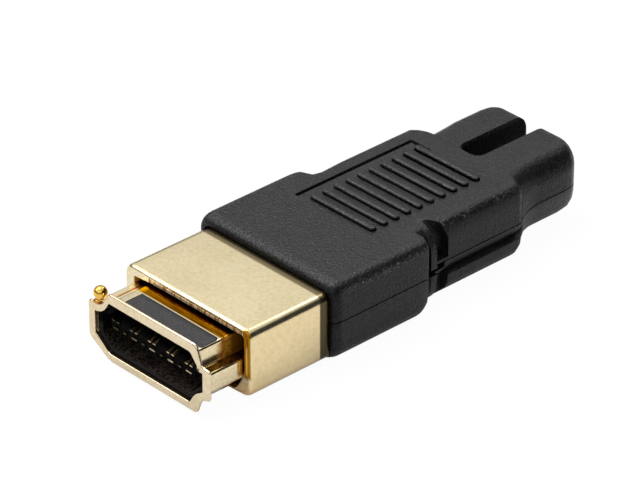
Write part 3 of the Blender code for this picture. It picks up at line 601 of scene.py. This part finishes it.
satin_grain = 0.006 * mm
right_side = ("X", 7.85, 7.95)
sleeve_look, tree, shader, colour, _ = gilt_material(
    "satin_gilt", (0.80, 0.69, 0.44), (0.66, 0.54, 0.31), 0.23, satin_grain, layers=[
        ([right_side], [(0.35, (0.75, 0.60, 0.34)), (0.62, (0.83, 0.68, 0.40))]),
        ([("Z", 2.6, 0.5), ("Y", 8.0, 4.8)], (0.86, 0.62, 0.32)),                 # low at the front, painted warm light
        ([("Y", 13.02, 13.32)], (0.22, 0.17, 0.085)),                             # shade before the body
        ([("Y", 13.5, 14.0)], (0.08, 0.06, 0.03)),                                # painted shade where it enters the body
        # painted shade on the right side before the body
        ([right_side, ("Y", 12.88, 13.08)], (0.085, 0.065, 0.030))])
amber_lip(tree, shader, colour, 1.0)



def stroked(tree, scale):
    """Noise drawn out into strokes by the scale along each axis."""
    stretch = tree.nodes.new("ShaderNodeMapping")
    stretch.inputs["Scale"].default_value = scale
    tree.links.new(tree.nodes.new("ShaderNodeTexCoord").outputs["Object"], stretch.inputs["Vector"])
    return noise_node(tree, stretch.outputs[0], 1.0, 2.0, 0.6)


lip_look, tree, shader, colour, specks = gilt_material(
    "lip_gilt", (0.92, 0.82, 0.60), (0.78, 0.66, 0.42), 0.40, satin_grain)
scratches = math_node(tree, "GREATER_THAN", stroked(tree, (3000.0, 260.0, 260.0)), 0.53)
top_lip = [("Z", 6.2, 6.5), ("X", -5.2, -5.1)]
colour = painted(tree, colour, specks, [
    (math_node(tree, "MULTIPLY", within(tree, *top_lip), scratches), (0.44, 0.30, 0.12)),
    ([*top_lip, ("Y", 4.735, 4.80)], (0.22, 0.12, 0.03)),                                  # turned in, painted shade
    ([("Z", 2.4, 1.2), ("X", 5.0, 6.5)], (0.98, 0.72, 0.40)),                              # low right corner, painted warm light
    ([("X", -5.26, -5.16), ("X", -4.96, -5.06), ("Z", 6.2, 6.4)], (0.16, 0.10, 0.03))])    # end of the lip
amber_lip(tree, shader, colour, 0.6)

# The window's inner faces are painted deep amber as shade, and bright orange at their left end as a painted
# glint.
amber_shade_look = gilt_material(
    "amber_shade_gilt", (0.72, 0.34, 0.03), (0.40, 0.17, 0.012), 0.38, 0.004 * mm, metallic=0.45,
    layers=[([("X", -5.6, -6.2)], (0.98, 0.56, 0.05))])[0]

parting = 4.05
window = [
    (-6.96, 6.23, 0.12), (-4.76, 6.42, 0.15), (7.46, 6.53, 0.40), (7.46, 2.90, 0.25), (6.70, 1.35, 0.30),
    (6.20, 0.68, 0.20), (-5.65, 0.68, 0.20), (-6.47, 1.50, 0.15), (-6.96, 2.35, 0.20)]


def sleeve_outer(inset):
    side, low, high = 8.22 - inset, 0.42 + inset, 7.23 - inset
    cut = 0.9 - inset
    return [(-side, high, cut + 0.25), (-side + 2.4, high, 0.1), (side, high, cut), (side, parting - 0.7, 0.1),
            (side, low, cut), (side - cut - 2.2, low, 0.1), (-side + cut + 1.5, low, 0.1), (-side, low, cut),
            (-side, parting - 1.6, 0.1)]


sleeve_face, sleeve_rear, sleeve_wall, seat_front, window_depth = 4.72, 17.04, 0.28, 14.0, 0.62
groove_stop = -4.9
profile = [(0.0, 0.42), (0.02, 0.30), (0.06, 0.19), (0.14, 0.09), (0.25, 0.025), (0.36, 0.0)]
groove = [(0.38, 0.0), (0.40, 0.10), (0.49, 0.10), (0.51, 0.0)]
lip = [(0.60, 0.0), (0.90, 0.0), (0.96, 0.02), (0.99, 0.06), (1.0, 0.11)]


def sleeve_ring(share, depth, plain_depth):
    """A ring between the outer edge and the window; the groove stops short of the left side."""
    points = ring(blend(sleeve_outer(0), window, share), sleeve_face + depth)
    if depth != plain_depth:
        for p in points:
            if p.x < groove_stop * mm:
                p.y = mouth_y + (sleeve_face + plain_depth) * mm
    return points


outside, face, shelter = 0, 1, 2
rings, bands = [ring(sleeve_outer(0), sleeve_rear), ring(sleeve_outer(0), seat_front)], [outside, outside]
for share, depth in profile:
    rings.append(sleeve_ring(share, depth, depth))
    bands.append(outside)
for share, depth in groove:
    rings.append(sleeve_ring(share, depth, 0.0))
    bands.append(face)
for share, depth in lip:
    rings.append(sleeve_ring(share, depth, depth))
    bands.append(face)
bands[-1] = shelter
rings += [ring(window, sleeve_face + window_depth), ring(sleeve_outer(sleeve_wall), sleeve_face + window_depth),
          ring(sleeve_outer(sleeve_wall), sleeve_rear)]
bands += [shelter, shelter, outside]
sleeve_mesh = tube("shield_sleeve_skin", rings, [sleeve_look, lip_look, amber_shade_look], bands)
add_piece("shield_sleeve_skin", sleeve_mesh, ["shield_sleeve"])


# Receptacle shell
# A folded tube of brass sheet, brightly plated, whose mouth flares to a flat rim rolled at its outer
# edge. Where it enters the sleeve, and along the step on its right, the plating is painted deep amber
# as shade.

shell_corners = [
    (-7.10, 5.70, 0.25), (-5.50, 5.70, 0.25), (-5.30, 6.30, 0.25), (5.90, 6.30, 0.28), (5.90, 4.30, 0.20),
    (7.10, 4.30, 0.28), (7.10, 2.25, 0.35), (6.25, 1.95, 0.30), (5.55, 0.80, 0.30), (-5.55, 0.80, 0.45),
    (-7.10, 2.15, 0.45)]
rim = [
    (-7.95, 5.62, 0.40), (-6.20, 5.62, 0.62), (-5.20, 7.28, 0.30), (6.30, 7.28, 0.55), (7.00, 5.36, 0.35),
    (8.02, 5.26, 0.25), (7.98, 2.25, 0.28), (6.90, 1.95, 0.50), (6.25, 0.28, 0.40), (-5.30, 0.28, 0.60),
    (-7.95, 1.85, 0.50)]
mouth = [
    (-7.10, 4.72, 0.12), (-6.00, 4.92, 0.75), (-5.15, 6.24, 0.15), (5.50, 6.24, 0.25), (6.40, 5.15, 0.30),
    (7.05, 4.85, 0.18), (7.05, 2.85, 0.15), (6.05, 2.25, 0.60), (5.30, 1.08, 0.15), (-5.35, 1.08, 0.35),
    (-7.10, 2.45, 0.30)]

bright_grain = 0.003 * mm
shell_look, tree, shader, colour, specks = gilt_material(
    "bright_gilt", (0.78, 0.66, 0.46), (0.62, 0.50, 0.31), 0.17, bright_grain)
behind_pad = [("Y", 3.30, 3.46), ("X", 7.08, 6.98), ("X", -5.45, -5.2)]
left_flank = [("X", -5.55, -5.70), ("Z", 5.60, 5.66), ("Y", 0.4, 0.6)]
right_step = [("Y", 3.30, 3.46), ("X", 5.74, 5.88), ("Z", 4.3, 4.4)]
roof_end, step_wall = within(tree, *behind_pad), within(tree, *right_step)
near_sleeve = along(tree, "Y", 4.50, 4.72)
# Behind the pad the roof is painted deep amber in streaks, as shade.
streaks = ramp_between(tree, stroked(tree, (350.0, 4800.0, 350.0)),
                       [(0.36, (0.070, 0.028, 0.003)), (0.62, (0.36, 0.165, 0.020))])
colour = painted(tree, colour, specks, [
    ([("Y", 0.30, 0.42)], [(0.35, (0.72, 0.60, 0.36)), (0.62, (0.86, 0.75, 0.50))]),       # walls
    (roof_end, streaks),
    ([*behind_pad, ("X", -4.3, -5.0)], (0.90, 0.48, 0.03)),                                # its left end, a painted glint
    ([("X", 5.84, 5.96), ("Z", 4.18, 4.26), ("Z", 4.42, 4.34), ("Y", 0.4, 0.8)],           # right ledge, in painted shade
     [(0.42, (0.26, 0.19, 0.06)), (0.58, (0.58, 0.46, 0.20))]),
    (left_flank, (0.86, 0.72, 0.46)),
    ([*left_flank, ("X", -6.38, -6.30), ("X", -6.06, -6.14), ("Y", 1.4, 2.2)], (0.50, 0.22, 0.02)),   # a crease, in painted shade
    # painted amber shade where the shell enters the sleeve and along the step on the right, deeper towards the
    # sleeve
    (near_sleeve, (0.24, 0.09, 0.004)),
    (step_wall, [(0.38, (0.36, 0.15, 0.01)), (0.60, (0.72, 0.36, 0.04))]),
    ([*right_step, ("Y", 4.1, 4.7)], (0.22, 0.09, 0.004)),
    ([("Y", 4.15, 4.35), ("Z", 6.1, 6.2), ("X", 5.9, 5.7)], (0.025, 0.010, 0.001))])       # painted shade under the lip
feed(tree, shader.inputs["Base Color"], colour)
tinted_edges(tree, shader, math_node(tree, "MAXIMUM", roof_end, near_sleeve))
feed(tree, shader.inputs["Metallic"],
     math_node(tree, "SUBTRACT", 1.0, math_node(tree, "MULTIPLY", step_wall, 0.6)))


def offset(corners, amount):
    """The same corners with every edge moved outwards by the amount."""
    moved = []
    for i, (x, z, cut) in enumerate(corners):
        here = Vector((x, z))
        before = (here - Vector(corners[i - 1][:2])).normalized()
        after = (Vector(corners[(i + 1) % len(corners)][:2]) - here).normalized()
        sides = Vector((-before.y, before.x)) + Vector((-after.y, after.x))
        corner = here + sides * (amount / (1 + before.dot(after)))
        moved.append((corner.x, corner.y, cut))
    return moved


shell_wall, shell_rear, flare_end = 0.25, 12.5, 0.85
mouth_round, mouth_spread, rim_round = 0.12, 0.10, 0.17
inner = offset(shell_corners, -shell_wall)
levels = [(inner, shell_rear), (inner, flare_end)]
for y in (0.60, 0.36, 0.20, mouth_round):
    levels.append((blend(mouth, inner, (y - mouth_round) / (flare_end - mouth_round)), y))
for s in range(1, 6):
    a = pi / 2 * s / 5
    levels.append((offset(mouth, mouth_spread * (1 - cos(a))), mouth_round * (1 - sin(a))))
for s in range(9):
    a = pi / 2 * s / 8
    levels.append((offset(rim, -rim_round * (1 - sin(a))), rim_round * (1 - cos(a))))
levels += [(offset(rim, -0.01), 0.22), (offset(rim, -0.06), 0.29), (blend(shell_corners, rim, 0.16), 0.33),
           (blend(shell_corners, rim, 0.06), 0.45), (shell_corners, flare_end), (shell_corners, shell_rear)]
rings = [ring(corners, y, receptacle_x) for corners, y in levels]
shell_mesh = tube("socket_shell_skin", rings, [shell_look], [0] * len(rings))
shell = add_piece("socket_shell_skin", shell_mesh, ["socket_shell"])


def rod(name, rings, sharp=None, smooth=True):
    """A loft through rings of points with its two ends closed."""
    bm = bmesh.new()
    rows = [[bm.verts.new(p) for p in points] for points in rings]
    for near, far in zip(rows, rows[1:]):
        strip(bm, near, far, smooth=smooth)
    bm.faces.new(rows[0])
    bm.faces.new(rows[-1])
    return turned_out(name, bm, sharp)


cut_out = [(-4.40, 3.25, 0.15), (5.75, 3.25, 0.45), (5.75, 1.05, 0.15), (-4.40, 1.05, 0.45)]
rings = [[((p.x + receptacle_x) * mm, mouth_y + p.y * mm, z * mm) for p in outline(cut_out)] for z in (5.8, 6.6)]
punch = bpy.data.objects.new("panel_punch", rod("panel_punch", rings, smooth=False))
bpy.context.collection.objects.link(punch)
opening = shell.modifiers.new("panel_window", "BOOLEAN")
opening.operation = "DIFFERENCE"
opening.solver = "EXACT"
opening.object = punch
cut_mesh = applied(shell)
shell.modifiers.clear()
shell.data = cut_mesh
cut_mesh.name = "socket_shell_cut"
bpy.data.objects.remove(punch, do_unlink=True)


# Ball-ended stud
# A turned gold bead on a short leaning stem, standing in the notch at the rim's upper left. Its
# foot is coppery where it is soldered to the rim.

pin_look = gilt_material("rich_gilt", (0.84, 0.52, 0.11), (0.72, 0.38, 0.06), 0.14, bright_grain,
                         layers=[([("Z", 6.1, 5.85)], (0.62, 0.27, 0.05))])[0]
stud_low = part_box("ball_stud")[0].z / mm
foot_x, foot_y, lean_x, lean_y = -6.90, 0.20, 0.36, 0.10
bead_z, bead_radius, bead_foot, around = 6.70, 0.645, 0.36, 48
foot = ((0.0, 0.30, 0), (0.03, 0.37, 0), (0.08, 0.40, 0), (0.15, 0.405, 0.15), (0.22, 0.42, 0.45),
        (0.34, 0.40, 0.75))
levels = [(stud_low + rise, radius, share) for rise, radius, share in foot]
for s in range(3, 41):
    a = -pi / 2 + pi * s / 40
    if bead_z + bead_radius * sin(a) > stud_low + bead_foot:
        levels.append((bead_z + bead_radius * sin(a), max(bead_radius * cos(a), 0.004), 1))
rings = []
for z, radius, share in levels:
    x, y = foot_x + lean_x * share + receptacle_x, foot_y + lean_y * share
    turns = [2 * pi * i / around for i in range(around)]
    rings.append([((x + radius * cos(a)) * mm, mouth_y + (y + radius * sin(a)) * mm, z * mm) for a in turns])
stud_mesh = rod("ball_stud_skin", rings)
stud_mesh.materials.append(pin_look)
add_piece("ball_stud_skin", stud_mesh, ["ball_stud"])


# Insulator
# A black moulded block with the contact tongue, pushed into the shell from behind. Its raised pad
# fills the cut-out in the shell's roof; inside the mouth it lies in deep shade. A moulded comb
# behind it keeps the contacts' tails apart.

def liner_black(name, roughness, specular, stops, layers):
    """Fine-grained black moulding, with layers painted on it."""
    material, tree, shader = plain_material(name, roughness)
    grained = add_group(tree, grain, Grain_Scale=5200.0, Patch_Scale=500.0)
    tone = grained.outputs["Tone"]
    feed(tree, shader.inputs["Base Color"], painted(tree, ramp_between(tree, tone, stops), tone, layers))
    shader.inputs["Specular IOR Level"].default_value = specular
    bump(tree, shader, grained.outputs["Height"], 0.03 * mm, 0.5)
    return material


insulator_look = liner_black(
    "black_insulator", 0.45, 0.22, [(0.40, (0.005, 0.005, 0.006)), (0.62, (0.018, 0.017, 0.018))], [
        ([("Z", 6.0, 6.1), ("Y", 3.3, 2.6)],                                               # the raised pad
         [(0.40, (0.020, 0.0195, 0.020)), (0.62, (0.038, 0.036, 0.037))])])
shade_look = liner_black(
    "insulator_shade", 0.8, 0.04, [(0.44, (0.003, 0.0025, 0.0022)), (0.60, (0.050, 0.038, 0.029))], [
        ([("Z", 2.4, 3.0)], (0.0016, 0.0014, 0.0014)),                                     # above the floor, deeper painted shade
        ([("Y", 0.54, 0.50), ("Z", 3.8, 3.4)], (0.017, 0.016, 0.017))])                    # front edge, a painted highlight
pad_foot = 6.05 * mm
insulator = finished_copy("insulator", "insulator_block", 0.03 * mm, insulator_look)
insulator.data.materials.append(shade_look)
for face in insulator.data.polygons:
    if face.center.z < pad_foot:
        face.material_index = 1
finished_copy("contact_spacer", "spacer_comb", 0, insulator_look)


# Contacts
# Nineteen strips of gilt bronze with turned-in noses, in pairs above the tongue and alternately
# broad and narrow below. They are tarnished, and painted shade darkens them towards the left and
# back from their noses; the ones below are painted dimmer still.

# Painted shade: darker towards the left and back from the noses, so only the noses catch the light.
contact_look = gilt_material(
    "contact_gilt", (0.85, 0.66, 0.36), (0.34, 0.22, 0.08), 0.30, satin_grain, span=(0.40, 0.60), layers=[
        ([("X", -0.5, -3.6)], (0.05, 0.032, 0.012)), ([("Y", 0.9, 1.6)], (0.05, 0.035, 0.015))])[0]
# The narrow strips below are painted almost black, as shade.
shaded_contact_look = gilt_material(
    "shaded_contact", (0.10, 0.075, 0.045), (0.02, 0.015, 0.008), 0.40, satin_grain, span=(0.40, 0.60))[0]
# The broad strips below are painted dimmer and greyer, as shade, and darker towards the left.
wide_look = gilt_material(
    "wide_contact", (0.50, 0.42, 0.28), (0.12, 0.095, 0.06), 0.35, satin_grain, span=(0.40, 0.60), layers=[
        ([("X", -0.8, -3.2)], (0.05, 0.035, 0.018))])[0]


def strip_mesh(name, width, side):
    """One contact: a softened flat bar along its line from the nose to the tail, at x = 0."""
    flat, rise = parting + side * 0.33, side * 0.30
    line = [(0.48, 0.10), (0.56, 0.17), (0.72, 0.30), (1.0, 0.60), (1.2, 0.85), (1.5, 0.96), (1.9, 1.0),
            (2.3, 0.97), (2.68, 0.90), (3.6, 0.65), (4.94, 0.25), (6.0, 0.08), (7.05, 0), (9.2, 0),
            (12.0, 0), (13.5, 0)]
    path = [Vector((y, flat + rise * lift)) for y, lift in line]
    soft, half, thick = 0.03, width / 2, 0.07
    section = [(-half + soft, thick), (half - soft, thick), (half, thick - soft), (half, -thick + soft),
               (half - soft, -thick), (-half + soft, -thick), (-half, -thick + soft), (-half, thick - soft)]
    rings = []
    for i, p in enumerate(path):
        heading = (path[min(i + 1, len(path) - 1)] - path[max(i - 1, 0)]).normalized()
        normal = Vector((-heading.y, heading.x))
        rings.append([(x * mm, mouth_y + (p.x + normal.x * t) * mm, (p.y + normal.y * t) * mm)
                      for x, t in section])
    return rod(name, rings, sharp=60)


strip_tree, given, end = geometry_tree("contact_row", [
    ("Geometry", "NodeSocketGeometry", None), ("Count", "NodeSocketInt", 5), ("Start", "NodeSocketVector", None),
    ("Step", "NodeSocketVector", None)])
strip_tree.links.new(row_of(strip_tree, given, given.outputs["Geometry"], contact_look), end.inputs[0])

narrow, broad, contact_pitch = 0.36, 0.72, 2.4
for name, width, side, start, count, first in (
        ("upper_left_strips", narrow, 1, -5.1, 5, 1), ("upper_right_strips", narrow, 1, -4.5, 5, 2),
        ("lower_wide_strips", broad, -1, -4.8, 5, 1), ("lower_narrow_strips", narrow, -1, -3.6, 4, 2)):
    mesh = grown(name, strip_mesh(name + "_seed", width, side), strip_tree, {
        "Count": count, "Start": ((start + receptacle_x) * mm, 0, 0), "Step": (contact_pitch * mm, 0, 0)})
    if side < 0:
        mesh.materials.clear()
        mesh.materials.append(wide_look if width == broad else shaded_contact_look)
        mesh.polygons.foreach_set("material_index", [0] * len(mesh.polygons))
    row = "contact_upper" if side > 0 else "contact_lower"
    add_piece(name, mesh, [f"{row}_{first + 2 * i:02d}" for i in range(count)])


# Board
# A small board of woven glass and green resin behind the insulator. The contacts' tails straddle its
# front edge, two posts of the body hold it, and nothing of it shows from outside.

board_look, tree, shader = plain_material("board_green", 0.4)
woven = add_group(tree, grain)
feed(tree, shader.inputs["Base Color"],
     ramp_between(tree, woven.outputs["Tone"], [(0.3, (0.01, 0.06, 0.03)), (0.7, (0.02, 0.10, 0.05))]))
finished_copy("solder_board", "board", 0, board_look)
